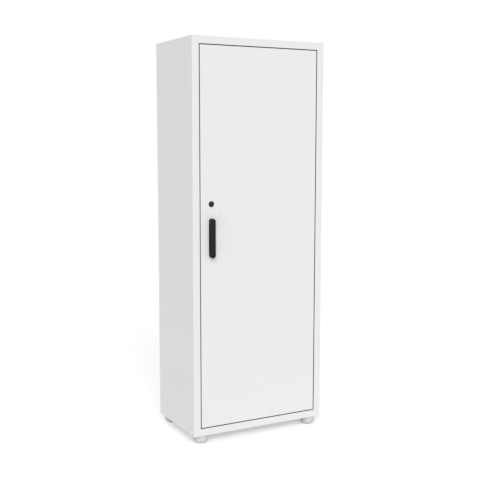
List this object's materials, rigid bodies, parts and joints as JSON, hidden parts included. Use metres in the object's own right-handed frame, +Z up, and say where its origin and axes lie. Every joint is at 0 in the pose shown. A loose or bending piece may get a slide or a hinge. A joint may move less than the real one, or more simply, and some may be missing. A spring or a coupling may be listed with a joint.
{
  "type": "broom cupboard",
  "caption": "Tall steel broom cupboard on round feet: framed inset door with bow handle and key-worked locking rods, broom bay with hooks, hat shelf and adjustable shelves.",
  "frame": {"origin": "floor level, at the middle of the overall box with the handle in it", "axes": "+X to the cupboard's right seen from the front, +Y to its back, +Z up"},
  "size_m": [0.7, 0.447, 1.9],
  "materials": {
    "white_paint": "fine powder coat, satin white",
    "zinc_steel": "bright zinc plating",
    "black_plastic": "fine-grained matt black",
    "black_metal": "satin black",
    "nylon": "natural nylon",
    "foot_plastic": "pale grey moulded plastic",
    "buffer_rubber": "soft black rubber"
  },
  "bodies": {
    "cabinet": {"left_side": "white_paint", "right_side": "white_paint", "top_panel": "white_paint", "bottom_panel": "white_paint", "back_panel": "white_paint", "partition": "white_paint", "hat_shelf": "white_paint", "hat_bracket_left": "white_paint", "hat_bracket_right": "white_paint", "lower_shelf": "white_paint", "middle_shelf": "white_paint", "upper_shelf": "white_paint", "hook_rail": "white_paint", "upright_partition_front": "white_paint", "upright_partition_rear": "white_paint", "upright_wall_front": "white_paint", "upright_wall_rear": "white_paint", "shelf_clips": "zinc_steel", "broom_hooks": "zinc_steel", "hinge_bush_upper": "nylon", "hinge_bush_lower": "nylon", "feet": "foot_plastic", "door_buffers": "buffer_rubber"},
    "door": {"door_pan": "white_paint", "door_stiffener": "white_paint", "hinge_pin_upper": "zinc_steel", "hinge_pin_lower": "zinc_steel", "hinge_block_upper": "zinc_steel", "hinge_block_lower": "zinc_steel", "handle": "black_plastic", "lock_barrel": "black_metal", "barrel_nut": "zinc_steel", "lock_bracket": "white_paint", "lock_plate": "zinc_steel", "lock_cover": "zinc_steel", "rod_guide_upper": "nylon", "rod_guide_lower": "nylon"},
    "lock": {"lock_plug": "zinc_steel", "lock_pinion": "zinc_steel", "lock_washer": "zinc_steel"},
    "upper_rod": {"rod_upper": "zinc_steel"},
    "lower_rod": {"rod_lower": "zinc_steel"}
  },
  "joints": [
    {"name": "door_hinge", "type": "hinge", "parent": "cabinet", "child": "door", "pos_m": [0.2965, -0.1895, 0.97], "axis": [0, 0, 1], "range_deg": [0, 110]},
    {"name": "lock_turn", "type": "hinge", "parent": "door", "child": "lock", "pos_m": [-0.2565, -0.1965, 1.14], "axis": [0, 1, 0], "range_deg": [0, 90]},
    {"name": "rod_upper_slide", "type": "slide", "parent": "door", "child": "upper_rod", "axis": [0, 0, 1], "range_m": [0, 0.0165]},
    {"name": "rod_lower_slide", "type": "slide", "parent": "door", "child": "lower_rod", "axis": [0, 0, -1], "range_m": [0, 0.01649]}
  ],
  "couplings": [
    {"joint": "lock_turn", "follows": "rod_lower_slide", "rad_per_m": 95.238},
    {"joint": "rod_upper_slide", "follows": "rod_lower_slide", "ratio": 1}
  ]
}
